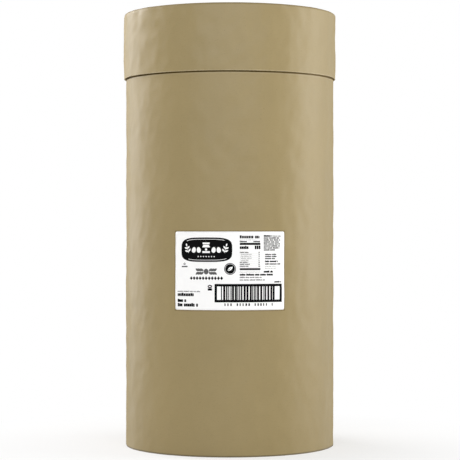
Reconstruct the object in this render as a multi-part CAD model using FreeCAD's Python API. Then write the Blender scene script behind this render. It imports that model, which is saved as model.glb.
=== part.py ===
"""Fibre drum of mayonnaise with its slip-on lid.

The drum is wound from kraft board. Its bottom head is a flanged disc glued in a little above the floor, so
the drum stands on the ring that the wall and the head's flange make together. It is full and shut, so the
wall, the bottom head and what they hold are one solid. The lid is a wound skirt with a flanged head set below
a rolled rim. Its head rests on the wall's rim, and its skirt hangs down round the wall with a small running
gap. A paper label with rounded corners is wrapped onto the front of the wall.

Frame, in millimetres: the origin is the centre of the foot, +Z is up the drum's axis, and the label faces -Y.
"""
import FreeCAD
import Part
import math
import os

# Drum: a wound wall round a 15.5 inch former
INNER_DIAMETER = 393.7
WALL = 4.65
WALL_HEIGHT = 819.6
WALL_RIM_ROUND = 1.0

# Bottom head, with its flange turned down inside the wall
BASE_RECESS = 16.0
BASE_FLANGE = 3.0
BASE_CORNER_ROUND = 2.5
FOOT_ROUND = 0.8
FOOT_SEAM_WIDTH = 0.7
FOOT_SEAM_DEPTH = 0.8

# Lid: a wound skirt, rolled at the top over the flange of a head that sits below the rim
LID_CLEARANCE = 0.8
LID_WALL = 3.4
LID_SKIRT = 125.0
LID_LIP_ROUND = 1.0
LID_HEAD = 4.0
LID_RECESS = 11.0
LID_FLANGE = 3.0
LID_RIM_ROUND = 4.0
LID_CURL_DEPTH = 6.5
LID_CURL_STEP = 0.9
LID_CURL_ROUND = 0.4
LID_CORNER_ROUND = 2.0

# Label: paper, glued round the front of the wall
LABEL_WIDTH = 209.5
LABEL_HEIGHT = 144.4
LABEL_BOTTOM = 270.0
LABEL_PAPER = 0.25
LABEL_CORNER_ROUND = 3.0

# What follows from them
WALL_RADIUS = INNER_DIAMETER / 2 + WALL
LID_BORE_RADIUS = WALL_RADIUS + LID_CLEARANCE
LID_RADIUS = LID_BORE_RADIUS + LID_WALL
LID_TOP = WALL_HEIGHT + LID_HEAD + LID_RECESS

AXIS = FreeCAD.Vector(0, 0, 1)
ORIGIN = FreeCAD.Vector(0, 0, 0)
FRONT_DEGREES = -90.0
SHORTEST_EDGE = 1e-6


def rounded_outline(corners):
    """A closed wire in the XZ plane through (radius, height, rounding) corners, with their arcs."""
    points = [FreeCAD.Vector(radius, 0, height) for radius, height, _ in corners]
    bends = []
    for index, (point, (_, _, rounding)) in enumerate(zip(points, corners)):
        back = (points[index - 1] - point).normalize()
        ahead = (points[(index + 1) % len(points)] - point).normalize()
        half_angle = back.getAngle(ahead) / 2
        tangent = rounding / math.tan(half_angle)
        to_middle = rounding / math.sin(half_angle) - rounding
        middle = point + (back + ahead).normalize() * to_middle
        bends.append((point + back * tangent, middle, point + ahead * tangent, rounding))
    edges = []
    for index, (start, middle, end, rounding) in enumerate(bends):
        if rounding:
            edges.append(Part.Arc(start, middle, end).toShape())
        following = bends[(index + 1) % len(bends)][0]
        if end.distanceToPoint(following) > SHORTEST_EDGE:
            edges.append(Part.LineSegment(end, following).toShape())
    return Part.Wire(edges)


def turned(corners):
    """The solid that an outline makes when it is turned once round the drum's axis."""
    return Part.Face(rounded_outline(corners)).revolve(ORIGIN, AXIS, 360)


def make_drum():
    """Wall, bottom head and contents, from the foot ring up to the wall's rim."""
    recess_radius = WALL_RADIUS - WALL - BASE_FLANGE
    seam_radius = WALL_RADIUS - WALL
    half_seam = FOOT_SEAM_WIDTH / 2
    return turned([
        (0, BASE_RECESS, 0),
        (recess_radius, BASE_RECESS, BASE_CORNER_ROUND),
        (recess_radius, 0, FOOT_ROUND),
        (seam_radius - half_seam, 0, 0),
        (seam_radius, FOOT_SEAM_DEPTH, 0),
        (seam_radius + half_seam, 0, 0),
        (WALL_RADIUS, 0, FOOT_ROUND),
        (WALL_RADIUS, WALL_HEIGHT, WALL_RIM_ROUND),
        (0, WALL_HEIGHT, 0),
    ])


def make_lid():
    """Skirt, rolled rim and recessed head. The rim is as wide as the skirt and the head's flange together."""
    rim_inner_radius = LID_RADIUS - LID_WALL - LID_FLANGE
    inner_rim_round = LID_WALL + LID_FLANGE - LID_RIM_ROUND
    flange_face_radius = rim_inner_radius + LID_CURL_STEP
    head_top = WALL_HEIGHT + LID_HEAD
    curl_bottom = LID_TOP - LID_CURL_DEPTH
    lip = LID_TOP - LID_SKIRT
    return turned([
        (0, WALL_HEIGHT, 0),
        (LID_BORE_RADIUS, WALL_HEIGHT, 0),
        (LID_BORE_RADIUS, lip, LID_LIP_ROUND),
        (LID_RADIUS, lip, LID_LIP_ROUND),
        (LID_RADIUS, LID_TOP, LID_RIM_ROUND),
        (rim_inner_radius, LID_TOP, inner_rim_round),
        (rim_inner_radius, curl_bottom, LID_CURL_ROUND),
        (flange_face_radius, curl_bottom, 0),
        (flange_face_radius, head_top, LID_CORNER_ROUND),
        (0, head_top, 0),
    ])


def make_label():
    """A sheet of paper bent to the wall, as wide round it as it was cut flat, with four rounded corners."""
    wrap_degrees = math.degrees(LABEL_WIDTH / WALL_RADIUS)
    strip = rounded_outline([
        (WALL_RADIUS, LABEL_BOTTOM, 0),
        (WALL_RADIUS + LABEL_PAPER, LABEL_BOTTOM, 0),
        (WALL_RADIUS + LABEL_PAPER, LABEL_BOTTOM + LABEL_HEIGHT, 0),
        (WALL_RADIUS, LABEL_BOTTOM + LABEL_HEIGHT, 0),
    ])
    strip.rotate(ORIGIN, AXIS, FRONT_DEGREES - wrap_degrees / 2)
    sheet = Part.Face(strip).revolve(ORIGIN, AXIS, wrap_degrees)
    corner_edges = [edge for edge in sheet.Edges if abs(edge.Length - LABEL_PAPER) < SHORTEST_EDGE]
    return sheet.makeFillet(LABEL_CORNER_ROUND, corner_edges)


NODES = {
    "drum": make_drum,
    "lid": make_lid,
    "label": make_label,
}

os.makedirs("parts", exist_ok=True)
for node, make in NODES.items():
    shape = make()
    shape.exportStep(f"parts/{node}.step")
    box = shape.optimalBoundingBox()
    print(f"{node}: valid {shape.isValid()}, {len(shape.Solids)} solid, {shape.Volume / 1e6:.4f} litres, "
          f"{box.XLength:.1f} x {box.YLength:.1f} x {box.ZLength:.1f} mm")
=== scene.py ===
# %% [markdown]
# # A drum of mayonnaise in wound kraft board
#
# Bulk mayonnaise travels in a fibre drum: a tube wound from many turns of kraft board, shut by a deep
# slip-on lid of the same board. It is a plain shape, so its likeness rests on quiet things: a wide soft
# sheen, a face that is never quite true, a crisp lid lip with a dark line under it, and one bright
# paper label.
#
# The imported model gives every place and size. This lesson turns the drum and the lid again with more
# rows and the board's unevenness in them, lays the paper and its print on that uneven wall, and then
# lights it all softly.

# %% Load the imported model
import bmesh
import bpy
import math
import random
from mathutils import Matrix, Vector, noise


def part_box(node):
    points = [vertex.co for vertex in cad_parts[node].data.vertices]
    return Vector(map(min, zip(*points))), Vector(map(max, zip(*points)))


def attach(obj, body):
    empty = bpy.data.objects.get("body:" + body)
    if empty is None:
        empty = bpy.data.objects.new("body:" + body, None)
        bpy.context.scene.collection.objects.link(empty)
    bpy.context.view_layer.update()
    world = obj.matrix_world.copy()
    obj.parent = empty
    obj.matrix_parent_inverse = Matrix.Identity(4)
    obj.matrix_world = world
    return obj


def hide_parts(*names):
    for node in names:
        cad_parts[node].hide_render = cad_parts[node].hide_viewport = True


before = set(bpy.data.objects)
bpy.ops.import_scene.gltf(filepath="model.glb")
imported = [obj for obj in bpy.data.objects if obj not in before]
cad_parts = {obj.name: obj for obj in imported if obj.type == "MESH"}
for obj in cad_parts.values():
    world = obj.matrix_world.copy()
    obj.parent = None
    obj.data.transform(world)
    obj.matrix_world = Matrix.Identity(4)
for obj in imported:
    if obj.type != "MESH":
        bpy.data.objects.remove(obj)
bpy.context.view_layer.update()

# %% [markdown]
# ## Sizes from the frame
#
# Each solid's box says where its faces are, so nothing has to be fitted by eye. Only what a box can't
# tell is named: how thick the boards are and how deep the two heads sit here, and how the edges are
# rounded where they are turned. Blender works in metres, and board is measured in millimetres, so one
# constant carries one into the other.

# %% Sizes of the drum, the lid and the label
MM = 0.001
drum_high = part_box("drum")[1]
lid_low, lid_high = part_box("lid")
label_low, label_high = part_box("label")
wall_radius = drum_high.x
lid_radius = lid_high.y
rim_height = drum_high.z
lip_height = lid_low.z
top_height = lid_high.z

WALL = 4.65 * MM
FLANGE = 3.0 * MM
BASE_RECESS = 16.0 * MM
LID_WALL = 3.4 * MM
LID_RECESS = 11.0 * MM
print(f"wall radius {wall_radius / MM:.2f} mm, lid radius {lid_radius / MM:.2f} mm, "
      f"lid from {lip_height / MM:.1f} to {top_height / MM:.1f} mm")

# %% [markdown]
# ## The camera
#
# A catalogue view of a drum is taken from far off with a long lens, level, and from about the middle of
# its height, so the wall's two sides stay almost upright while the lid's edge arches up and the foot's
# edge arches down. The camera comes before the surfaces, because how finely they are cut depends on how
# large they are seen. It is never tilted: its view is shifted by a hair instead, which keeps the sides
# upright. The view transform is set to Standard here too, so that a colour shows as it is written.

# %% Place a level camera in front of the label
CAMERA_DISTANCE = 16.54 * wall_radius
CAMERA_HEIGHT = 2.045 * wall_radius
FOCAL_LENGTH_MM = 133.7
SHIFT_ACROSS = 0.0004
SHIFT_UP = 0.006

camera_data = bpy.data.cameras.new("camera")
camera_data.lens = FOCAL_LENGTH_MM
camera_data.shift_x = SHIFT_ACROSS
camera_data.shift_y = SHIFT_UP
camera = bpy.data.objects.new("camera", camera_data)
camera.location = (0, -CAMERA_DISTANCE, CAMERA_HEIGHT)
camera.rotation_euler = (math.radians(90), 0, 0)
bpy.context.scene.collection.objects.link(camera)
bpy.context.scene.camera = camera
bpy.context.scene.view_settings.view_transform = "Standard"
print(f"camera {CAMERA_DISTANCE:.2f} m in front of the axis and {CAMERA_HEIGHT:.2f} m up")

# %% [markdown]
# ## Board that is never quite true
#
# Kraft board is wound damp with glue and dries a little unevenly. Under raking light its face shows
# soft dimples as wide as a thumb, faint pulls that lean the way the web was drawn, and a slow swell as
# wide as a hand. A bump in the material could fake that, but it would vanish from the mesh, so the
# relief is put into the shape, from three layers of smooth noise. They are read on the cylinder itself,
# so there is no seam where the turn closes.

# %% A relief that the wall, the lid and the label share
SWELL_SIZE = 120 * MM
SWELL_DEPTH = 0.55 * MM
DIMPLE_SIZE = 24 * MM
DIMPLE_DEPTH = 0.8 * MM
DIMPLE_STRETCH = 1.4
PULL_SIZE = 13 * MM
PULL_DEPTH = 0.36 * MM
PULL_STRETCH = 1.4
PULL_LEAN = -0.9


def board_relief(angle, height, seed):
    """How far the board's face stands out of true, in metres. A seed picks another patch of board."""
    around = Vector((math.cos(angle), math.sin(angle), 0)) * wall_radius
    leaning = angle + PULL_LEAN * height
    pulled = Vector((math.cos(leaning), math.sin(leaning), 0)) * wall_radius
    up = Vector((0, 0, height + seed))
    swell = SWELL_DEPTH * noise.noise((around + up) / SWELL_SIZE)
    dimple = DIMPLE_DEPTH * noise.noise((around + up / DIMPLE_STRETCH) / DIMPLE_SIZE)
    pull = PULL_DEPTH * noise.noise((pulled + up / PULL_STRETCH) / PULL_SIZE)
    return swell + dimple + pull


WALL_SEED = 0.0
SAMPLES = 60
sampled = [board_relief(math.tau * turn / SAMPLES, lip_height * row / SAMPLES, WALL_SEED)
           for turn in range(SAMPLES) for row in range(SAMPLES)]
print(f"the wall's relief runs from {min(sampled) / MM:.2f} to {max(sampled) / MM:.2f} mm")

# %% [markdown]
# ## Where the outer ply ends
#
# The outer ply's edge shows as one upright line at the back, where the sheet stops on top of the turn
# below. The step is one ply high, and going round the drum it is spread over the whole turn. It is a
# real step in the mesh, so two columns of points stand a hair apart there.

# %% A lap in the outer ply
PLY = 0.4 * MM
LAP_WIDTH = 0.3 * MM
WALL_LAP = math.radians(97)
LID_LAP = math.radians(64)


def ply_step(angle, lap):
    """The outer ply's share of the radius: half a ply out just past the lap, half a ply in a turn later."""
    turned = (angle - lap) % math.tau
    return PLY * (0.5 - turned / math.tau)


def columns(count, lap):
    """Angles of the mesh's columns, with one extra column just before the lap."""
    even = [lap + math.tau * index / count for index in range(count)]
    return even + [lap + math.tau - LAP_WIDTH / wall_radius]


COLUMN_COUNT = 384
print(f"{COLUMN_COUNT} columns, {math.tau * wall_radius / COLUMN_COUNT / MM:.1f} mm apart")

# %% [markdown]
# ## Turning an outline
#
# Drum and lid are both turned shapes, so each is one outline spun round the axis. Blender's Screw
# modifier could do that, but it can't add the relief, so a short function does it. An outline's corners
# carry their own rounding and a share from 0 to 1 of the board's relief: the outer face takes all of
# it, and the hidden bore and the heads none.

# %% Trace an outline, and turn it
ARC_STEPS = 5
ROW_STEP = 3.4 * MM
AT_AXIS = 1 * MM


def trace(corners):
    """Rows of (radius, height, share) along an outline of (radius, height, rounding, share) corners."""
    spots = [Vector((radius, height)) for radius, height, _, _ in corners]
    path = [(spots[0], corners[0][3])]
    for index in range(1, len(corners) - 1):
        corner, rounding, share = spots[index], corners[index][2], corners[index][3]
        if not rounding:
            path.append((corner, share))
            continue
        back = (spots[index - 1] - corner).normalized()
        ahead = (spots[index + 1] - corner).normalized()
        half = back.angle(ahead) / 2
        centre = corner + (back + ahead).normalized() * rounding / math.sin(half)
        start = corner + back * rounding / math.tan(half) - centre
        end = corner + ahead * rounding / math.tan(half) - centre
        for step in range(ARC_STEPS + 1):
            path.append((centre + start.slerp(end, step / ARC_STEPS).normalized() * rounding, share))
    path.append((spots[-1], corners[-1][3]))
    rows = [(*path[0][0], path[0][1])]
    for (spot, share), (next_spot, next_share) in zip(path, path[1:]):
        pieces = max(1, math.ceil((next_spot - spot).length / ROW_STEP))
        for piece in range(1, pieces + 1):
            part = piece / pieces
            rows.append((*spot.lerp(next_spot, part), share + (next_share - share) * part))
    return rows


def level(radius, angle, height):
    """A head that stays where it is."""
    return height


def turn(name, rows, angles, stand_out, finish_of, lifted=level):
    """A closed shell through rows of (radius, height, share).

    Each point is pushed out by its share of stand_out(angle, height), and lifted(radius, angle, height) is
    its own height.
    """
    points = []
    rings = []
    for radius, height, share in rows:
        if radius < AT_AXIS:
            rings.append([len(points)])
            points.append((0, 0, lifted(0, 0, height)))
            continue
        rings.append(range(len(points), len(points) + len(angles)))
        for angle in angles:
            reach = radius + share * stand_out(angle, height)
            up = lifted(radius, angle, height)
            points.append((reach * math.cos(angle), reach * math.sin(angle), up))
    faces = []
    finishes = []
    for row, (ring, above) in enumerate(zip(rings, rings[1:])):
        middle = (Vector(rows[row][:2]) + Vector(rows[row + 1][:2])) / 2
        for column in range(len(angles)):
            after = (column + 1) % len(angles)
            corners = [ring[column % len(ring)], ring[after % len(ring)],
                       above[after % len(above)], above[column % len(above)]]
            faces.append(list(dict.fromkeys(corners)))
            finishes.append(finish_of(middle.x, middle.y))
    mesh = bpy.data.meshes.new(name)
    mesh.from_pydata(points, [], faces)
    mesh.polygons.foreach_set("material_index", finishes)
    mesh.shade_smooth()
    piece = bpy.data.objects.new(name, mesh)
    bpy.context.scene.collection.objects.link(piece)
    print(f"{name}: {len(points)} points, {len(faces)} faces")
    return piece


# %% [markdown]
# ## The drum
#
# The wall is a cut tube that stands on its own edge. Its bottom head is a pressed disc whose flange
# turns down inside the wall, so from below there is a ring of two boards round a shallow recess, with a
# fine glued seam between them. The cut edge of the wall shows its plies, so faces are marked 0 for the
# board's face and 1 for a cut edge, and each gets its own finish later. A narrow band just under the
# lid's lip is marked 2, for a dark line of painted shade that stands for the shadow under the lip.
# Inside the lid the wall is held true, so its relief fades to a fifth.

# %% Turn the drum
FACE, CUT, SHADED_UNDER_LIP = 0, 1, 2
BASE_CORNER_ROUND = 2.5 * MM
FOOT_ROUND = 0.8 * MM
SEAM_HALF = 0.35 * MM
SEAM_DEPTH = 0.8 * MM
WALL_RIM_ROUND = 1.0 * MM
# Painted shade: how far the dark band under the lid's lip reaches, how soft its lower edge is, and how far
# it runs up under the lid.
LIP_SHADE_REACH = 2.9 * MM
LIP_SHADE_SOFTNESS = 0.8 * MM
LIP_SHADE_HIDDEN = 4 * MM
FADE_END = 12 * MM
FADED = 0.2
recess_radius = wall_radius - WALL - FLANGE
seam_radius = wall_radius - WALL
lip_shade_low = lip_height - LIP_SHADE_REACH
lip_shade_full = lip_shade_low + LIP_SHADE_SOFTNESS
lip_shade_high = lip_height + LIP_SHADE_HIDDEN


def wall_stand_out(angle, height):
    """Relief of the drum's outer face."""
    return board_relief(angle, height, WALL_SEED) + ply_step(angle, WALL_LAP)


def drum_finish(radius, height):
    """The wall's own foot is a cut edge, a band under the lip is painted shade, and the rest is plain face.
    """
    if height < FOOT_ROUND / 2 and radius > seam_radius - SEAM_HALF:
        return CUT
    return SHADED_UNDER_LIP if lip_shade_full < height < lip_shade_high and radius > seam_radius else FACE


drum = turn("drum_shell", trace([
    (0, BASE_RECESS, 0, 0),
    (recess_radius, BASE_RECESS, BASE_CORNER_ROUND, 0),
    (recess_radius, 0, FOOT_ROUND, 0),
    (seam_radius - SEAM_HALF, 0, 0, 0),
    (seam_radius, SEAM_DEPTH, 0, 0),
    (seam_radius + SEAM_HALF, 0, 0, 0),
    (wall_radius, 0, FOOT_ROUND, 1),
    (wall_radius, lip_shade_full, 0, 1),
    (wall_radius, lip_shade_high, 0, 1),
    (wall_radius, lip_height + FADE_END, 0, FADED),
    (wall_radius, rim_height, WALL_RIM_ROUND, FADED),
    (0, rim_height, 0, 0),
]), columns(COLUMN_COUNT, WALL_LAP), wall_stand_out, drum_finish)

# %% [markdown]
# ## The lid
#
# The lid's skirt is wound like the wall, one size larger. At the top it is curled inwards over the
# flange of the lid's head, which leaves a rounded shoulder outside, a flat rim, and the curl's cut edge
# as a fine step inside the rim. Its lower lip is a clean cut with the corners just broken. The skirt is
# thinner than the wall and has been pulled off and pushed on, so its relief is a little deeper. The
# head is a thin disc that is never flat: its face rises and sinks by nearly a millimetre, which shows
# from above as a slow change in the sheen.

# %% Turn the lid
LID_SEED = 11.3
LID_CRUMPLE = 1.35
LIP_ROUND = 1.0 * MM
RIM_ROUND = 4.0 * MM
CURL_DEPTH = 6.5 * MM
CURL_STEP = 0.9 * MM
CURL_ROUND = 0.4 * MM
CURL_EDGE = 0.2 * MM
HEAD_CORNER_ROUND = 2.0 * MM
bore_radius = lid_radius - LID_WALL
rim_inner_radius = bore_radius - FLANGE
step_radius = rim_inner_radius + CURL_STEP
head_height = top_height - LID_RECESS
curl_height = top_height - CURL_DEPTH
HEAD_HELD = 4 * MM
HEAD_FREE = 40 * MM
HEAD_SWELL_SIZE = 110 * MM
HEAD_SWELL = 1.6 * MM
HEAD_DIMPLE_SIZE = 34 * MM
HEAD_DIMPLE = 0.35 * MM
SAME_HEIGHT = 1e-6


def lid_stand_out(angle, height):
    """Relief of the lid's outer face."""
    return LID_CRUMPLE * board_relief(angle, height, LID_SEED) + ply_step(angle, LID_LAP)


def lid_lifted(radius, angle, height):
    """The head's upper face rises and sinks a little, but not at its glued corner."""
    if abs(height - head_height) > SAME_HEIGHT:
        return height
    spot = Vector((radius * math.cos(angle), radius * math.sin(angle), LID_SEED))
    free = min(1, max(0, rim_inner_radius - HEAD_HELD - radius) / HEAD_FREE)
    swell = HEAD_SWELL * noise.noise(spot / HEAD_SWELL_SIZE)
    dimple = HEAD_DIMPLE * noise.noise(spot / HEAD_DIMPLE_SIZE)
    return height + free * (swell + dimple)


def lid_finish(radius, height):
    """The lip and the edge of the curl are cut, and all the rest is the face of board."""
    at_lip = height < lip_height + LIP_ROUND / 3
    at_curl = abs(height - curl_height) < CURL_EDGE and radius < step_radius
    return CUT if at_lip or at_curl else FACE


lid = turn("lid_shell", trace([
    (0, rim_height, 0, 0),
    (bore_radius, rim_height, 0, 0),
    (bore_radius, lip_height, LIP_ROUND, 0),
    (lid_radius, lip_height, LIP_ROUND, 1),
    (lid_radius, top_height, RIM_ROUND, 1),
    (rim_inner_radius, top_height, LID_WALL + FLANGE - RIM_ROUND, 0),
    (rim_inner_radius, curl_height, CURL_ROUND, 0),
    (step_radius, curl_height, 0, 0),
    (step_radius, head_height, HEAD_CORNER_ROUND, 0),
    (0, head_height, 0, 0),
]), columns(COLUMN_COUNT, LID_LAP), lid_stand_out, lid_finish, lid_lifted)

# %% [markdown]
# ## Paper and print on an uneven wall
#
# The label is one sheet of paper, and its print is thin fields of ink. All of them are drawn flat, in
# millimetres from the sheet's lower left corner, as an artworker would. One helper cuts the flat shapes
# into small cells, gives them a thickness, and bends them round the wall with the same relief, so paper
# and ink follow the board. An extrusion makes its side faces in no fixed order, so they are sorted by
# where they are and which way they face, and every run gives the same mesh. An image texture would be
# quicker, but meshes stay crisp however near the camera comes.

# %% Lay flat shapes on the wall
SHEET_WIDTH = 209.5
SHEET_HEIGHT = 144.4
CELL = 3.5
FRONT = math.radians(-90)
SAME_POINT = 1e-4


def lay_on_wall(name, shapes, under, over):
    """A closed piece of flat (across, up) shapes, between two heights over the wall, all in millimetres."""
    flat = bmesh.new()
    for shape in shapes:
        flat.faces.new([flat.verts.new((across, up, 0)) for across, up in shape])
    for direction, length in (((1, 0, 0), SHEET_WIDTH), ((0, 1, 0), SHEET_HEIGHT)):
        cuts = math.floor(length / CELL)
        for index in range(1, cuts):
            everything = flat.verts[:] + flat.edges[:] + flat.faces[:]
            place = Vector(direction) * length * index / cuts
            bmesh.ops.bisect_plane(flat, geom=everything, plane_co=place, plane_no=direction,
                                   dist=SAME_POINT)
    for vert in flat.verts:
        vert.co.z = under
    raised = bmesh.ops.extrude_face_region(flat, geom=flat.faces[:], use_keep_orig=True)["geom"]
    for vert in raised:
        if isinstance(vert, bmesh.types.BMVert):
            vert.co.z = over
    for vert in flat.verts:
        angle = FRONT + (vert.co.x - SHEET_WIDTH / 2) * MM / wall_radius
        height = label_low.z + vert.co.y * MM
        reach = wall_radius + wall_stand_out(angle, height) + vert.co.z * MM
        vert.co = (reach * math.cos(angle), reach * math.sin(angle), height)
    bmesh.ops.recalc_face_normals(flat, faces=flat.faces)
    in_order = sorted(flat.faces, key=lambda face: (*face.calc_center_median(), *face.normal))
    for order, face in enumerate(in_order):
        face.index = order
    flat.faces.sort()
    mesh = bpy.data.meshes.new(name)
    flat.to_mesh(mesh)
    flat.free()
    piece = bpy.data.objects.new(name, mesh)
    bpy.context.scene.collection.objects.link(piece)
    print(f"{name}: {len(shapes)} shapes, {len(mesh.polygons)} faces")
    return piece


# %% The sheet of paper
PAPER_THICKNESS = 0.25
PAPER_SUNK = 0.1
CORNER_ROUND = 3.0
CORNER_STEPS = 6


def sheet_outline():
    """A rectangle with rounded corners, from its lower left."""
    outline = []
    for right, top, start in ((1, 0, -90), (1, 1, 0), (0, 1, 90), (0, 0, 180)):
        centre_across = SHEET_WIDTH - CORNER_ROUND if right else CORNER_ROUND
        centre_up = SHEET_HEIGHT - CORNER_ROUND if top else CORNER_ROUND
        for step in range(CORNER_STEPS + 1):
            angle = math.radians(start + 90 * step / CORNER_STEPS)
            outline.append((centre_across + CORNER_ROUND * math.cos(angle),
                            centre_up + CORNER_ROUND * math.sin(angle)))
    return outline


paper = lay_on_wall("label_paper", [sheet_outline()], -PAPER_SUNK, PAPER_THICKNESS)
for polygon in paper.data.polygons:
    polygon.use_smooth = True

# %% [markdown]
# ## Small shapes for the print
#
# Every printed mark is a flat shape: a block, an oval, a leaf, an egg or a lozenge. Shapes are drawn
# about their own middle or foot and then placed, so one drawing serves in many spots. Lines of small
# print are rows of upright strokes in word-long groups, of no alphabet, so they have the grey of print
# from afar and say nothing from near. Their widths come from seeded dice, so they are the same on every
# run.

# %% Shapes to print with
OVAL_POINTS = 40
LEAF_STEPS = 8


def placed(shape, across, up, lean=0.0):
    """A shape moved to a place on the sheet, leaning by an angle in degrees."""
    cosine, sine = math.cos(math.radians(lean)), math.sin(math.radians(lean))
    return [(across + x * cosine - y * sine, up + x * sine + y * cosine) for x, y in shape]


def block(left, bottom, right, top):
    """A rectangle."""
    return [(left, bottom), (right, bottom), (right, top), (left, top)]


def oval(half_width, half_height, taper=0.0, fullness=1.0):
    """An ellipse. A taper makes it an egg, and a fullness under 1 makes it nearer a rectangle."""
    outline = []
    for point in range(OVAL_POINTS):
        angle = math.tau * point / OVAL_POINTS
        x = math.copysign(abs(math.cos(angle)) ** fullness, math.cos(angle))
        y = math.copysign(abs(math.sin(angle)) ** fullness, math.sin(angle))
        outline.append((half_width * x * (1 - taper * y), half_height * y))
    return outline


def ring(half_width, half_height, line, fullness=1.0):
    """An oval line, as a list of short blocks that meet."""
    outer = oval(half_width, half_height, 0.0, fullness)
    inner = oval(half_width - line, half_height - line, 0.0, fullness)
    follow = [(point + 1) % OVAL_POINTS for point in range(OVAL_POINTS)]
    return [[inner[here], outer[here], outer[after], inner[after]] for here, after in enumerate(follow)]


def leaf(length, width):
    """A pointed leaf that lies from its stalk to the right."""
    shares = [step / LEAF_STEPS for step in range(LEAF_STEPS + 1)]
    edge = [(length * share, width / 2 * math.sin(math.pi * share)) for share in shares]
    return edge + [(along, -half) for along, half in edge[-2:0:-1]]


def lozenge(half_width, half_height):
    """A square stood on its corner."""
    return [(-half_width, 0), (0, -half_height), (half_width, 0), (0, half_height)]


print(f"an oval has {OVAL_POINTS} points and a leaf {len(leaf(1, 1))}")

# %% Lines of small print
LEAST_STEP, MOST_STEP = 0.42, 0.7
STROKE_TALLNESS = (0.84, 0.84, 0.84, 1.0)
WORD_GAP = 0.45
LEAST_ROOM = 0.6
dice = random.Random(12)


def small_print(left, right, base, size, inked, words=(4, 9)):
    """A line of strokes, in words of so many strokes. Inked is the dark share of a stroke's step."""
    strokes = []
    across = left
    while across < right - size * LEAST_ROOM:
        for _ in range(dice.randint(*words)):
            step = size * dice.uniform(LEAST_STEP, MOST_STEP)
            if across > right - step:
                break
            tall = size * dice.choice(STROKE_TALLNESS)
            strokes.append(block(across, base, across + step * inked, base + tall))
            across += step
        across += size * WORD_GAP
    return strokes


def print_lines(*lines):
    """Small print in many lines, each given as small_print's own values."""
    return [stroke for line in lines for stroke in small_print(*line)]


print(len(small_print(0, 40, 0, 1.6, 0.5)), "strokes in a line 40 mm long")

# %% [markdown]
# ## The plaque and the title
#
# The upper left of the label is a dark plaque with rounded ends and a pale line along its top and its
# foot. It shows the plain makings of mayonnaise: a jar between two pairs of eggs, with a sprig of
# leaves at each end. Pale shapes are laid over the dark field, a hair higher, in the paper's own
# finish. Below, a garland and a row of lozenges stand where a title goes.

# %% Draw the plaque
PLAQUE = (61.0, 111.0)
PLAQUE_HALF_WIDTH = 48.3
PLAQUE_HALF_HEIGHT = 22.5
PLAQUE_FULLNESS = 0.52
LINE_INSET = 3
LINE_REACH = 37
FRIEZE_UP = 3.0
JAR = [(-7, -9), (7, -9), (7, 2.6), (5.4, 5), (5.4, 6.2), (-5.4, 6.2), (-5.4, 5), (-7, 2.6)]
JAR_LID = block(-6.6, 7.2, 6.6, 10.2)
EGG_TAPER = 0.14
EGG = oval(3.9, 5.3, EGG_TAPER)
SMALL_EGG = oval(1.9, 2.4, EGG_TAPER)
SPRIG_OUT = 33.6
SPRIG_LEAN = 16
STALK = block(0, -0.4, 13, 0.4)
LEAF_LEAN = 52


def sprig(side):
    """A stalk with leaves in pairs, leaning outwards to one side of the plaque."""
    lean = 90 - side * SPRIG_LEAN
    foot = (side * SPRIG_OUT, FRIEZE_UP - 9.0)
    shapes = [placed(STALK, *foot, lean)]
    for order in range(2):
        joint = placed([(2.0 + 6.0 * order, 0)], *foot, lean)[0]
        for turned in (-LEAF_LEAN, LEAF_LEAN):
            shapes.append(placed(leaf(7.4 - order, 3.2), *joint, lean + turned))
    tip = placed([(12.5, 0)], *foot, lean)[0]
    shapes.append(placed(leaf(6.0, 2.8), *tip, lean))
    return shapes


plaque = [placed(oval(PLAQUE_HALF_WIDTH, PLAQUE_HALF_HEIGHT, 0.0, PLAQUE_FULLNESS), *PLAQUE)]
line = ring(PLAQUE_HALF_WIDTH - LINE_INSET, PLAQUE_HALF_HEIGHT - LINE_INSET, 0.7, PLAQUE_FULLNESS)
pale = [part for part in line if abs(part[0][0]) < LINE_REACH]
pale += [placed(JAR, 0, FRIEZE_UP), placed(JAR_LID, 0, FRIEZE_UP)]
for side in (-1, 1):
    for out, lean in ((14.0, -9), (23.4, 12)):
        pale.append(placed(EGG, side * out, FRIEZE_UP - 3.4, side * lean))
    pale += sprig(side)
for place in range(-3, 4):
    pale.append(placed(lozenge(1.3, 1.3), place * 5.0, -12.6))
pale = [placed(shape, *PLAQUE) for shape in pale]
jar_band = [placed(block(-7, -5.6, 7, 1.2), PLAQUE[0], PLAQUE[1] + FRIEZE_UP)]
jar_mark = [placed(SMALL_EGG, PLAQUE[0], PLAQUE[1] + FRIEZE_UP - 2.5)]
print(len(pale), "pale shapes on the plaque")

# %% Draw the title
TITLE_LEFT, TITLE_RIGHT = 29.5, 92.5
TITLE_MIDDLE = (TITLE_LEFT + TITLE_RIGHT) / 2
TITLE_UP = 58.6
LOZENGES = 11
GARLAND_UP = 70.8
LEAF_SPREAD = 38

title = []
for place in range(LOZENGES):
    across = TITLE_LEFT + (TITLE_RIGHT - TITLE_LEFT) * (place + 0.5) / LOZENGES
    title.append(placed(lozenge(2.75, 3.5), across, TITLE_UP))
garland = [placed(oval(4.4, 5.2), TITLE_MIDDLE, GARLAND_UP)]
for side in (-1, 1):
    for order in range(3):
        stalk = TITLE_MIDDLE + side * (4.6 + order * 4.4)
        for up in (-1, 1):
            lean = 90 - side * 90 + side * up * LEAF_SPREAD
            garland.append(placed(leaf(8.4, 4.4), stalk, GARLAND_UP + up * 0.5, lean))
print(len(title), "lozenges under", len(garland), "shapes of the garland")

# %% [markdown]
# ## The ruled table, the column and the bar code
#
# The right half is a ruled table with a column of fine print beside it, and below them a bar code in a
# heavy frame, with groups of strokes under it. The bars' widths come from the same seeded dice, and
# they stand for no number.

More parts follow.
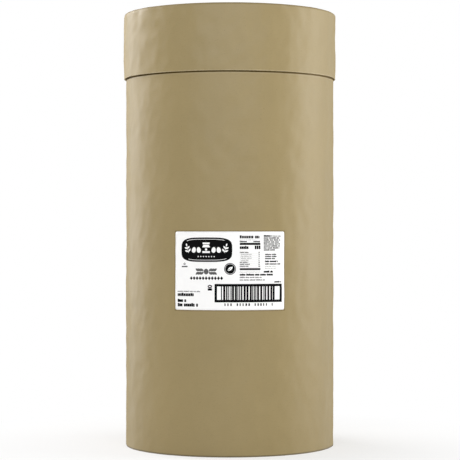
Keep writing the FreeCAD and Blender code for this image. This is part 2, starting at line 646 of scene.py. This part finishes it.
# %% Draw the ruled table
TABLE_LEFT, TABLE_RIGHT = 123.0, 161.5
ROWS = 8
BOLD_ROWS = (0, 5, 6, 7)
FIRST_ROW_UP = 105.2
ROW_DROP = 3.64
RULE_BOTTOM, RULE_TOP = 0.85, 0.72
FIGURE_LEFT = TABLE_RIGHT - 10.6
FIGURE_STEP, FIGURE_WIDTH = 3.7, 3.15

black = [block(TABLE_LEFT, 119.6, TABLE_RIGHT, 123.6), block(TABLE_LEFT, 73.6, TABLE_RIGHT, 77.1)]
black += print_lines(
    (TABLE_LEFT, TABLE_RIGHT, 131.8, 5.6, 0.84, (6, 8)),
    (TABLE_LEFT, TABLE_RIGHT - 8, 128.4, 1.4, 0.3),
    (TABLE_LEFT, TABLE_LEFT + 15, 124.6, 2.8, 0.86),
    (TABLE_RIGHT - 13, TABLE_RIGHT, 124.6, 2.8, 0.86),
    (TABLE_LEFT, TABLE_LEFT + 17, 112.3, 5.7, 0.92),
)
for place in range(3):
    left = FIGURE_LEFT + FIGURE_STEP * place
    black.append(block(left, 111.9, left + FIGURE_WIDTH, 118.6))
for row in range(ROWS):
    base = FIRST_ROW_UP - ROW_DROP * row
    bold = row in BOLD_ROWS
    start = TABLE_LEFT if bold else TABLE_LEFT + 2
    black.append(block(TABLE_LEFT, base - RULE_BOTTOM, TABLE_RIGHT, base - RULE_TOP))
    black += print_lines(
        (start, start + dice.uniform(13, 22), base, 2.0, 0.8 if bold else 0.4),
        (TABLE_RIGHT - 3.6, TABLE_RIGHT, base, 2.1, 0.85 if bold else 0.6),
    )
black += print_lines(
    (TABLE_LEFT, TABLE_RIGHT, 69.3, 1.5, 0.3),
    (TABLE_LEFT, 188.0, 63.4, 3.6, 0.96),
    (TABLE_LEFT, 165.0, 58.9, 2.5, 0.66),
    (TABLE_LEFT, 170.5, 54.3, 2.5, 0.66),
)
print(len(black), "marks in the table")

# %% Draw the column beside it
COLUMN_LEFT, COLUMN_RIGHT = 168.0, 202.5
INDENT_LEFT = COLUMN_LEFT + 2.5
TEXT_ROWS, TEXT_UP, TEXT_DROP = 7, 131.2, 3.65
LAST_ROW_SHORT = 9
LIST_ROWS, LIST_UP, LIST_DROP = 3, 100.9, 3.8

black += print_lines(
    (COLUMN_LEFT, COLUMN_LEFT + 18, 134.8, 3.0, 1.0),
    (COLUMN_LEFT + 19, COLUMN_RIGHT, 134.8, 2.4, 0.62),
)
for row in range(TEXT_ROWS):
    right = COLUMN_RIGHT - dice.uniform(0, 3) - (LAST_ROW_SHORT if row == TEXT_ROWS - 1 else 0)
    black += small_print(COLUMN_LEFT, right, TEXT_UP - TEXT_DROP * row, 2.6, 0.86)
for row in range(LIST_ROWS):
    right = COLUMN_RIGHT - dice.uniform(7, 12)
    black += small_print(INDENT_LEFT, right, LIST_UP - LIST_DROP * row, 2.7, 0.86)
black += print_lines(
    (INDENT_LEFT, COLUMN_RIGHT - 5, 88.0, 3.1, 1.0),
    (INDENT_LEFT, COLUMN_RIGHT - 1, 83.4, 2.7, 0.84),
    (INDENT_LEFT, COLUMN_RIGHT - 9, 79.6, 1.8, 0.36),
    (INDENT_LEFT, COLUMN_RIGHT - 9, 75.9, 1.8, 0.36),
    (COLUMN_LEFT, COLUMN_LEFT + 18, 68.8, 3.6, 1.0, (6, 8)),
    (189.0, 204.5, 50.3, 3.0, 0.96),
)
print(len(black), "marks with the column")

# %% Draw the lower left corner
CORNER_LEFT = 5.0

black += print_lines(
    (CORNER_LEFT, 50.0, 33.0, 2.3, 0.62),
    (CORNER_LEFT, 40.0, 25.4, 6.0, 0.9, (11, 12)),
    (CORNER_LEFT, 23.5, 14.4, 5.8, 0.98, (3, 3)),
    (CORNER_LEFT, 46.0, 6.3, 6.3, 0.94, (3, 6)),
)
black += [placed(shape, 19.0, 84.6) for shape in ring(2.0, 2.0, 1.0)]
black += small_print(13.5, 25.0, 78.7, 2.6, 0.9)
print(len(black), "marks with the corner")

# %% Draw the round mark
SEAL = (105.2, 75.8)
SEAL_RADIUS = 10.8
SEAL_LINE_RADIUS = 9.4
SEAL_LEAN = 36

seal = [placed(oval(SEAL_RADIUS, SEAL_RADIUS), *SEAL)]
seal_pale = [placed(shape, *SEAL) for shape in ring(SEAL_LINE_RADIUS, SEAL_LINE_RADIUS, 0.5)]
seal_pale.append(placed(leaf(12.6, 5.6), SEAL[0] - 5.0, SEAL[1] - 3.6, SEAL_LEAN))
seal_vein = [placed(leaf(11.5, 0.9), SEAL[0] - 6.8, SEAL[1] - 4.9, SEAL_LEAN)]
print(len(seal_pale), "pale shapes on the round mark")

# %% Draw the bar code
CODE_LEFT, CODE_RIGHT, CODE_BOTTOM, CODE_TOP, CODE_FRAME = 76.7, 204.4, 14.4, 48.2, 4.6
BARS_LEFT, BARS_RIGHT = 88.5, 190.5
BAR_WIDTHS = (1.9, 2.8, 3.9)
BAR_GAPS = (0.8, 1.3, 2.2)
STROKES_LEFT, STROKES_BOTTOM, STROKES_TOP = 95.0, 7.9, 12.6
STROKE_GROUPS = (3, 5, 5, 1)
STROKE_WIDTHS = (1.8, 2.9)
STROKE_STEP = 5.4
GROUP_GAP = 6.2
code_floor, code_roof = CODE_BOTTOM + CODE_FRAME, CODE_TOP - CODE_FRAME

black += [
    block(CODE_LEFT, CODE_BOTTOM, CODE_RIGHT, code_floor),
    block(CODE_LEFT, code_roof, CODE_RIGHT, CODE_TOP),
    block(CODE_LEFT, code_floor, CODE_LEFT + CODE_FRAME, code_roof),
    block(CODE_RIGHT - CODE_FRAME, code_floor, CODE_RIGHT, code_roof),
]
across = BARS_LEFT
while across < BARS_RIGHT:
    bar = dice.choice(BAR_WIDTHS)
    black.append(block(across, code_floor, across + bar, code_roof))
    across += bar + dice.choice(BAR_GAPS)
across = STROKES_LEFT
for group in STROKE_GROUPS:
    for _ in range(group):
        black.append(block(across, STROKES_BOTTOM, across + dice.uniform(*STROKE_WIDTHS), STROKES_TOP))
        across += STROKE_STEP
    across += GROUP_GAP
black += [placed(shape, 68.0, 43.4) for shape in ring(4.1, 3.1, 2.0)]
black.append(block(64.0, 36.0, 72.0, 40.0))
print(len(black), "marks with the bar code")

# %% Lay the label's print on the paper
INK_THICKNESS = 0.06
FIRST_INK = PAPER_THICKNESS + INK_THICKNESS
SECOND_INK = FIRST_INK + INK_THICKNESS
THIRD_INK = SECOND_INK + INK_THICKNESS
FOURTH_INK = THIRD_INK + INK_THICKNESS
SOAKED = 0.05
SUNK = 0.03

print_black = lay_on_wall("print_black", plaque + title + black + seal, PAPER_THICKNESS - SOAKED, FIRST_INK)
print_grey = lay_on_wall("print_grey", garland, PAPER_THICKNESS - SOAKED, FIRST_INK)
print_pale = lay_on_wall("print_pale", pale + seal_pale, FIRST_INK - SUNK, SECOND_INK)
print_over = lay_on_wall("print_over", jar_band + seal_vein, SECOND_INK - SUNK, THIRD_INK)
print_mark = lay_on_wall("print_mark", jar_mark, THIRD_INK - SUNK, FOURTH_INK)

# %% [markdown]
# ## Building finishes
#
# A finish is a small graph of nodes. One helper adds a node with its settings and inputs: an input that
# is another node's output is linked, and any other is set as a value. The rest are named for what they
# give: grain, a value between two, a tint, bumps. All patterns are read in the object's own
# coordinates, which are the frame's, so they stay on the board however the camera moves.

# %% Helpers that add nodes
MIX_FIRST, MIX_SECOND, MIX_RESULT = 6, 7, 2


def add(tree, kind, inputs, **settings):
    """A node of a kind in a tree, with its settings, and its inputs linked or set."""
    node = tree.nodes.new(kind)
    for name, value in settings.items():
        setattr(node, name, value)
    for name, value in inputs.items():
        if isinstance(value, bpy.types.NodeSocket):
            tree.links.new(value, node.inputs[name])
        else:
            node.inputs[name].default_value = value
    return node


def worked(tree, operation, *values):
    """The result of a sum on values, each a number or another node's output."""
    return add(tree, "ShaderNodeMath", dict(enumerate(values)), operation=operation).outputs["Value"]


def grain(tree, place, size, detail=2.0, stretch=(1, 1, 1)):
    """Noise with features of about a size in metres, stretched along an axis by a share under 1."""
    squeezed = add(tree, "ShaderNodeVectorMath", {0: place, 1: stretch}, operation="MULTIPLY")
    return add(tree, "ShaderNodeTexNoise", {"Vector": squeezed.outputs["Vector"], "Scale": 1 / size,
                                            "Detail": detail}).outputs["Fac"]


def between(tree, value, low, high, from_low=0.0, from_high=1.0):
    """A value carried from one span to another."""
    return add(tree, "ShaderNodeMapRange", {"Value": value, "From Min": from_low, "From Max": from_high,
                                            "To Min": low, "To Max": high}).outputs["Result"]


def tint(tree, share, first, second):
    """A colour between two, by a share."""
    first, second = [(*colour, 1) if isinstance(colour, tuple) else colour for colour in (first, second)]
    inputs = {0: share, MIX_FIRST: first, MIX_SECOND: second}
    return add(tree, "ShaderNodeMix", inputs, data_type="RGBA").outputs[MIX_RESULT]


def bumps(tree, *layers):
    """Bump nodes in a chain, from (height, depth in metres) layers."""
    normal = None
    for height, depth in layers:
        node = add(tree, "ShaderNodeBump", {"Height": height, "Distance": depth, "Strength": 1.0})
        if normal:
            tree.links.new(normal, node.inputs["Normal"])
        normal = node.outputs["Normal"]
    return normal


print("helpers that add nodes are ready")

# %% Helpers that start and end a finish
def new_finish(name, gloss=0.5):
    """An empty material with some gloss, its tree, its main shader and its object coordinates."""
    material = bpy.data.materials.new(name)
    material.use_nodes = True
    tree = material.node_tree
    shader = tree.nodes["Principled BSDF"]
    shader.inputs["Specular IOR Level"].default_value = gloss
    return material, tree, shader, tree.nodes.new("ShaderNodeTexCoord").outputs["Object"]


def give_look(tree, shader, colour, roughness, *layers):
    """Link a colour, a roughness and layers of bumps to the main shader."""
    look = {"Base Color": colour, "Roughness": roughness, "Normal": bumps(tree, *layers)}
    for name, value in look.items():
        tree.links.new(value, shader.inputs[name])


print("helpers that start and end a finish are ready")

# %% [markdown]
# ## Kraft board
#
# Kraft is unbleached wood pulp, pressed smooth. Its colour is an olive tan, not orange, cloudy over a
# hand's width, with fibres drawn out round the drum and a few darker flecks. Its skin is calendered, so
# it has a soft, wide sheen, which dulls where it is seen edge-on across the standing fibres. Wear shows
# in narrow lines: the lid's lip is scuffed paler and its rolled rim is handled darker and duller. The
# wall's foot is painted darker, as the shade along the line where it meets the floor. Each line is a
# share that depends on the height alone, and the scuff comes in patches as well.
#
# Two more marks are on the wall only, and both are painted light and shade. Under the lid's lip a dark
# line of painted shade stands for the lip's shadow, with a paler band painted under it as a light edge,
# and a fine darker border of painted shade runs round the sheet, where its edge meets the wall. That
# border needs a distance from the sheet's edge, so the wall's angle is turned into millimetres across.

# %% Colours of kraft board
KRAFT_DARK = (0.266, 0.204, 0.089)
KRAFT_PALE = (0.306, 0.235, 0.106)
KRAFT_FLECK = (0.20, 0.145, 0.065)
KRAFT_SCUFF_AND_HIGHLIGHT = (0.44, 0.36, 0.215)
KRAFT_HANDLED = (0.19, 0.14, 0.055)
KRAFT_FOOT_SHADE = (0.014, 0.008, 0.003)
KRAFT_OUTLINE_SHADE = (0.15, 0.105, 0.03)
KRAFT_LIP_SHADE = (0.085, 0.056, 0.014)
CLOUD_SIZE = 90 * MM
FIBRE_SIZE = 2.2 * MM
FLECK_SIZE = 1.1 * MM


def board_colour(tree, place):
    """Cloudy kraft with drawn out fibres and a few flecks, then its cloud and its fibres by themselves."""
    cloud = grain(tree, place, CLOUD_SIZE, 3)
    fibre = grain(tree, place, FIBRE_SIZE, 2, (0.3, 0.3, 1))
    fleck = grain(tree, place, FLECK_SIZE, 1, (0.4, 0.4, 1))
    tone = worked(tree, "ADD", cloud, between(tree, fibre, 0.25, 0.75))
    colour = tint(tree, between(tree, tone, 0, 1, 0.5, 1.5), KRAFT_DARK, KRAFT_PALE)
    return tint(tree, between(tree, fleck, 0, 0.6, 0.66, 0.78), colour, KRAFT_FLECK), cloud, fibre


print("kraft from", KRAFT_DARK, "to", KRAFT_PALE)

# %% Marks on the wall alone
# Painted light and shade on the wall: a pale band and a dark line under the lid's lip, a darker foot, and a
# dark border round the label.
PAINTED_HIGHLIGHT_REACH, PAINTED_HIGHLIGHT_SHARE = 6 * MM, 0.25
LIP_SHADE_SHARE = 0.96
FOOT_SHADE_REACH, FOOT_SHADE_SHARE = 3.6 * MM, 0.6
OUTLINE_SHADE_REACH, OUTLINE_SHADE_SHARE = 2.2 * MM, 0.8
OUTLINE_SHADE_SOFTNESS = 0.8 * MM
label_middle = (label_low.z + label_high.z) / 2


def past_the_sheet(tree, place, height):
    """How far a spot on the wall is past the label's edge, in metres: below nought under the sheet."""
    axes = add(tree, "ShaderNodeSeparateXYZ", {"Vector": place})
    angle = worked(tree, "ARCTAN2", axes.outputs["X"], axes.outputs["Y"])
    from_front = worked(tree, "SUBTRACT", math.pi, worked(tree, "ABSOLUTE", angle))
    beside = worked(tree, "MULTIPLY_ADD", from_front, wall_radius, -SHEET_WIDTH / 2 * MM)
    from_middle = worked(tree, "ABSOLUTE", worked(tree, "SUBTRACT", height, label_middle))
    above = worked(tree, "SUBTRACT", from_middle, SHEET_HEIGHT / 2 * MM)
    return worked(tree, "MAXIMUM", beside, above)


def wall_marks(tree, place, height, colour):
    """The wall's colour with painted highlight and shade under the lip, and shade at foot and label."""
    # Painted highlight: a paler band under the dark line, as a light edge beside it.
    painted_highlight = between(tree, height, 0, PAINTED_HIGHLIGHT_SHARE, lip_height - PAINTED_HIGHLIGHT_REACH, lip_shade_low)
    colour = tint(tree, painted_highlight, colour, KRAFT_SCUFF_AND_HIGHLIGHT)
    # Painted shade: a dark line under the lid's lip, for the shadow the lip casts on the wall.
    lip_shade = between(tree, height, 0, LIP_SHADE_SHARE, lip_shade_low, lip_shade_full)
    colour = tint(tree, lip_shade, colour, KRAFT_LIP_SHADE)
    # Painted shade: the wall darker along its foot, where it meets the floor.
    foot_shade = between(tree, height, FOOT_SHADE_SHARE, 0, FOOT_SHADE_REACH / 2, FOOT_SHADE_REACH)
    colour = tint(tree, foot_shade, colour, KRAFT_FOOT_SHADE)
    # Painted shade: a darker border round the label, where the sheet's edge meets the wall.
    past = past_the_sheet(tree, place, height)
    outline_shade = between(tree, past, OUTLINE_SHADE_SHARE, 0, OUTLINE_SHADE_REACH - OUTLINE_SHADE_SOFTNESS, OUTLINE_SHADE_REACH)
    return tint(tree, outline_shade, colour, KRAFT_OUTLINE_SHADE)


print(f"grime {LIP_SHADE_REACH / MM:.1f} mm under the lip, glue {OUTLINE_SHADE_REACH / MM:.1f} mm round the label")

# %% Make the finish of the board's face
KRAFT_GLOSS = 0.42
SHEEN_LOW, SHEEN_HIGH = 0.41, 0.47
EDGE_ON_LOW, EDGE_ON_HIGH, EDGE_ON_DULLED = 0.7, 0.95, 0.35
HANDLED_LOW, HANDLED_HIGH = top_height - 4.5 * MM, top_height - 1.5 * MM
HANDLED, HANDLED_DULLED = 0.55, 0.3
SCUFF = 0.75
PATCH_SIZE = 7 * MM
SKIN_SIZE, SKIN_DEPTH = 2.4 * MM, 0.014 * MM
FIBRE_DEPTH = 0.006 * MM


def scuffed_share(tree, place, height, scuffed_height, scuff_reach):
    """How scuffed the board is, in patches within a reach of one height."""
    away = worked(tree, "ABSOLUTE", worked(tree, "SUBTRACT", height, scuffed_height))
    patchy = between(tree, grain(tree, place, PATCH_SIZE), 0.4, 1, 0.35, 0.6)
    return worked(tree, "MULTIPLY", between(tree, away, SCUFF, 0, 0.2 * scuff_reach, scuff_reach), patchy)


def kraft_board(name, scuffed_height, scuff_reach, marks=None):
    """The face of kraft board, scuffed near one height, and perhaps with more marks."""
    material, tree, shader, place = new_finish(name, KRAFT_GLOSS)
    colour, cloud, fibre = board_colour(tree, place)
    height = add(tree, "ShaderNodeSeparateXYZ", {"Vector": place}).outputs["Z"]
    scuffed = scuffed_share(tree, place, height, scuffed_height, scuff_reach)
    colour = tint(tree, scuffed, colour, KRAFT_SCUFF_AND_HIGHLIGHT)
    handled = between(tree, height, 0, 1, HANDLED_LOW, HANDLED_HIGH)
    colour = tint(tree, worked(tree, "MULTIPLY", handled, HANDLED), colour, KRAFT_HANDLED)
    if marks:
        colour = marks(tree, place, height, colour)
    facing = add(tree, "ShaderNodeLayerWeight", {"Blend": 0.5}).outputs["Facing"]
    edge_on = between(tree, facing, 0, EDGE_ON_DULLED, EDGE_ON_LOW, EDGE_ON_HIGH)
    dulled = worked(tree, "MULTIPLY_ADD", handled, HANDLED_DULLED, edge_on)
    roughness = worked(tree, "ADD", between(tree, cloud, SHEEN_LOW, SHEEN_HIGH, 0.3, 0.7), dulled)
    skin = grain(tree, place, SKIN_SIZE, 2, (0.5, 0.5, 1))
    give_look(tree, shader, colour, roughness, (skin, SKIN_DEPTH), (fibre, FIBRE_DEPTH))
    return material


drum_kraft = kraft_board("drum_kraft", 0.0, 3 * MM, wall_marks)
lid_kraft = kraft_board("lid_kraft", lip_height, 2.8 * MM)
print("board faces:", drum_kraft.name, lid_kraft.name)

# %% [markdown]
# ## Painted shade under the lip
#
# A brown line of painted shade lies where the lid's lip ends, and stands for the shadow under the lip.
# It has hardly any gloss, so it stays dark and warm, and that is why it needs a finish of its own. On
# the right, where more light reaches under the lip, the line is painted paler.

# %% Make the finish of the painted shade under the lip
# Painted shade: the line's colours, with blotches in it, and a paler colour painted where light reaches
# under the lip on the right.
LIP_SHADE_DARKEST = (0.055, 0.036, 0.009)
LIP_SHADE_LIT = (0.18, 0.13, 0.055)
LIP_SHADE_GLOSS = 0.08
BLOTCH_SIZE, BLOTCH_DEPTH = 5 * MM, 0.03 * MM
LIT_FROM_RIGHT_LOW, LIT_FROM_RIGHT_HIGH = 0.2 * wall_radius, 0.75 * wall_radius

lip_painted_shade, tree, shader, place = new_finish("lip_painted_shade", LIP_SHADE_GLOSS)
shade_blotches = grain(tree, place, BLOTCH_SIZE)
lip_shade_colour = tint(tree, between(tree, shade_blotches, 0, 1, 0.35, 0.65), KRAFT_LIP_SHADE, LIP_SHADE_DARKEST)
# Painted light: the line is painted paler towards the right, where more light gets under the lip.
across = add(tree, "ShaderNodeSeparateXYZ", {"Vector": place}).outputs["X"]
lit_from_right = between(tree, across, 0, 1, LIT_FROM_RIGHT_LOW, LIT_FROM_RIGHT_HIGH)
lip_shade_colour = tint(tree, lit_from_right, lip_shade_colour, LIP_SHADE_LIT)
give_look(tree, shader, lip_shade_colour, between(tree, shade_blotches, 0.7, 0.85), (shade_blotches, BLOTCH_DEPTH))
print("grime:", lip_painted_shade.name)

# %% [markdown]
# ## Cut edges
#
# Where the board is cut, its plies show as fine rings, darker at each line of glue, and the fibres
# stand up, so the edge has no sheen. The rings follow the distance from the axis, so they run true
# round the whole edge.

# %% Make the finish of a cut edge
EDGE_GLUE = (0.17, 0.125, 0.065)
EDGE_FIBRE = (0.40, 0.325, 0.19)
FUZZ_SIZE, FUZZ_DEPTH = 0.8 * MM, 0.08 * MM
FUZZ_SHIFT = 1.5
RING_DEPTH = 0.04 * MM

cut_edge, tree, shader, place = new_finish("cut_edge")
flat = add(tree, "ShaderNodeVectorMath", {0: place, 1: (1, 1, 0)}, operation="MULTIPLY").outputs["Vector"]
reach = add(tree, "ShaderNodeVectorMath", {0: flat}, operation="LENGTH").outputs["Value"]
fuzz = grain(tree, place, FUZZ_SIZE)
shift = between(tree, fuzz, -FUZZ_SHIFT, FUZZ_SHIFT)
rings = worked(tree, "SINE", worked(tree, "MULTIPLY_ADD", reach, math.tau / PLY, shift))
edge_colour = tint(tree, between(tree, rings, 0, 1, -0.9, 0.3), EDGE_GLUE, EDGE_FIBRE)
edge_roughness = between(tree, fuzz, 0.75, 0.95)
give_look(tree, shader, edge_colour, edge_roughness, (rings, RING_DEPTH), (fuzz, FUZZ_DEPTH))
print("cut edge:", cut_edge.name)

# %% [markdown]
# ## Paper and inks
#
# The label is a bright white sheet with a light coating, so it is smoother than the board but not
# glossy. Its inks sink in and stay matt. They aren't dead flat either: the black is a touch thinner
# here and there.

# %% Make the finishes of paper and ink
SHEET_CLOUD_SIZE = 14 * MM
SHEET_FIBRE_SIZE, SHEET_FIBRE_DEPTH = 0.9 * MM, 0.006 * MM
SHEET_UNEVENNESS = 0.05


def sheet_finish(name, thin, full, roughness, gloss):
    """Paper or ink, from its thinnest colour to its fullest."""
    material, tree, shader, place = new_finish(name, gloss)
    cloud = grain(tree, place, SHEET_CLOUD_SIZE, 3)
    fibre = grain(tree, place, SHEET_FIBRE_SIZE)
    colour = tint(tree, between(tree, cloud, 0, 1, 0.3, 0.7), thin, full)
    uneven = between(tree, fibre, roughness - SHEET_UNEVENNESS, roughness + SHEET_UNEVENNESS)
    give_look(tree, shader, colour, uneven, (fibre, SHEET_FIBRE_DEPTH))
    return material


white_paper = sheet_finish("white_paper", (0.94, 0.94, 0.94), (0.965, 0.965, 0.96), 0.5, 0.4)
black_ink = sheet_finish("black_ink", (0.005, 0.005, 0.0055), (0.003, 0.003, 0.0033), 0.7, 0.03)
grey_ink = sheet_finish("grey_ink", (0.13, 0.13, 0.13), (0.10, 0.10, 0.10), 0.6, 0.08)
print("sheet finishes:", white_paper.name, black_ink.name, grey_ink.name)

# %% [markdown]
# ## Dressing the pieces
#
# Each new piece is listed with a slot of the record's finishes, its own finishes, and the imported solid
# it stands for, if any. It gets its finishes, moves with one body, and that solid is hidden. The part has
# no joints, so everything is on one body.

# %% Dress, ride and replace
PIECES = (
    (drum, "drum_board", (drum_kraft, cut_edge, lip_painted_shade), "drum"),
    (lid, "lid_board", (lid_kraft, cut_edge), "lid"),
    (paper, "label_paper", (white_paper,), "label"),
    (print_black, "label_ink", (black_ink,), None),
    (print_grey, "label_ink", (grey_ink,), None),
    (print_pale, "label_paper", (white_paper,), None),
    (print_over, "label_ink", (black_ink,), None),
    (print_mark, "label_paper", (white_paper,), None),
)
for piece, slot, finishes, node in PIECES:
    for finish in finishes:
        piece.data.materials.append(finish)
    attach(piece, "root")
    if node:
        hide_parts(node)
print(len(PIECES), "pieces dressed")

# %% [markdown]
# ## The floor and the white around it
#
# The drum stands on a plain pale floor that runs off into white. Near the drum nearly half of what the
# eye sees of the floor is really lit, so it keeps a faint soft shadow, and further out it fades into a
# plain white that only the eye and clear reflections see. The lamps have no part in that white, so the
# board's colours stay true.

# %% Lay the floor
FLOOR_REACH = 30.0
FLOOR_WHITE = (0.86, 0.86, 0.86)
FLOOR_WHITER = (0.88, 0.88, 0.88)
FLOOR_MOTTLE = 40 * MM
FLOOR_ROUGHNESS = 0.9
PLAIN_SHARE = 0.55
SHADOW_REACH = 0.24
FADE_REACH = 0.62


def seen_directly(tree):
    """1 for rays from the camera and in clear reflections, and 0 for the light that falls on things."""
    path = tree.nodes.new("ShaderNodeLightPath").outputs
    seen = worked(tree, "MAXIMUM", path["Is Camera Ray"], path["Is Glossy Ray"])
    return worked(tree, "MAXIMUM", seen, path["Is Transmission Ray"])


floor_mesh = bpy.data.meshes.new("floor")
corner_sides = ((-1, -1), (1, -1), (1, 1), (-1, 1))
corners = [(across * FLOOR_REACH, back * FLOOR_REACH, 0) for across, back in corner_sides]
floor_mesh.from_pydata(corners, [], [(0, 1, 2, 3)])
floor = bpy.data.objects.new("floor", floor_mesh)
bpy.context.scene.collection.objects.link(floor)
pale_floor, tree, shader, place = new_finish("pale_floor")
shader.inputs["Roughness"].default_value = FLOOR_ROUGHNESS
floor_colour = tint(tree, grain(tree, place, FLOOR_MOTTLE), FLOOR_WHITE, FLOOR_WHITER)
tree.links.new(floor_colour, shader.inputs["Base Color"])
from_axis = add(tree, "ShaderNodeVectorMath", {0: place}, operation="LENGTH").outputs["Value"]
plain = between(tree, from_axis, PLAIN_SHARE, 1, SHADOW_REACH, FADE_REACH)
share = worked(tree, "MULTIPLY", plain, seen_directly(tree))
white = add(tree, "ShaderNodeEmission", {"Color": (1, 1, 1, 1), "Strength": 1.0}).outputs["Emission"]
mixed = add(tree, "ShaderNodeMixShader", {0: share, 1: shader.outputs["BSDF"], 2: white}).outputs["Shader"]
tree.links.new(mixed, tree.nodes["Material Output"].inputs["Surface"])
floor_mesh.materials.append(pale_floor)
print(f"floor {2 * FLOOR_REACH:.0f} m wide")

# %% Set the white around it
AMBIENT = 0.26

world = bpy.data.worlds.new("studio")
world.use_nodes = True
bpy.context.scene.world = world
tree = world.node_tree
soft = tree.nodes["Background"]
soft.inputs["Color"].default_value = (1, 1, 1, 1)
soft.inputs["Strength"].default_value = AMBIENT
plain_white = add(tree, "ShaderNodeBackground", {"Color": (1, 1, 1, 1), "Strength": 1.0})
mixed = add(tree, "ShaderNodeMixShader", {0: seen_directly(tree), 1: soft.outputs["Background"],
                                          2: plain_white.outputs["Background"]}).outputs["Shader"]
tree.links.new(mixed, tree.nodes["World Output"].inputs["Surface"])
print(f"ambient light {AMBIENT}")

# %% [markdown]
# ## The lamps
#
# Large soft lamps stand round the drum, as they would in a studio. Two on the left, a little behind,
# skim the wall and give the bright band along that side: a tall one, and a wide one hung higher, so the
# band grows towards the lid. Two on the right, hardly behind the drum, give the wide sheen there, and a
# wide one over the camera fills the front. The side lamps are a touch warm, as old softboxes are. Each
# is placed by its angle round the drum, and its strength is stated as brightness per area, so it can be
# resized by itself.

# %% Hang the lamps
LEFT_DEGREES, RIGHT_DEGREES = -120, 91
SIDE_DISTANCE, FRONT_DISTANCE = 2.2, 3.4
LOW, HIGH, OVERHEAD = (0.05, 1.4), (1.41, 2.11), (0.9, 3.0)
FAINTLY_WARM = (1.0, 0.975, 0.965)
WARM = (1.0, 0.98, 0.94)


def soft_lamp(name, degrees, distance, span, width, brightness, colour=(1, 1, 1)):
    """An upright area lamp at so many degrees from the front towards the right, facing the drum's axis.

    The span is its lower and upper height.
    """
    low, high = span
    data = bpy.data.lights.new(name, "AREA")
    data.color = colour
    data.shape = "RECTANGLE"
    data.size = width
    data.size_y = high - low
    data.energy = math.pi * width * (high - low) * brightness
    lamp = bpy.data.objects.new(name, data)
    angle = math.radians(degrees)
    lamp.location = (distance * math.sin(angle), -distance * math.cos(angle), (low + high) / 2)
    lamp.rotation_euler = (math.radians(90), 0, angle)
    bpy.context.scene.collection.objects.link(lamp)
    return lamp


lamps = [
    soft_lamp("left_lamp", LEFT_DEGREES, SIDE_DISTANCE, LOW, 1.16, 2.2, FAINTLY_WARM),
    soft_lamp("left_high_lamp", LEFT_DEGREES, SIDE_DISTANCE, HIGH, 2.7, 11.2, FAINTLY_WARM),
    soft_lamp("right_lamp", RIGHT_DEGREES, SIDE_DISTANCE, LOW, 1.6, 3.3, WARM),
    soft_lamp("right_high_lamp", RIGHT_DEGREES, SIDE_DISTANCE, HIGH, 1.7, 4.8, WARM),
    soft_lamp("front_lamp", 0, FRONT_DISTANCE, OVERHEAD, 4.8, 2.95),
]
print([f"{lamp.name} {lamp.data.energy:.0f} W" for lamp in lamps])

# %% Finish
bpy.context.view_layer.update()
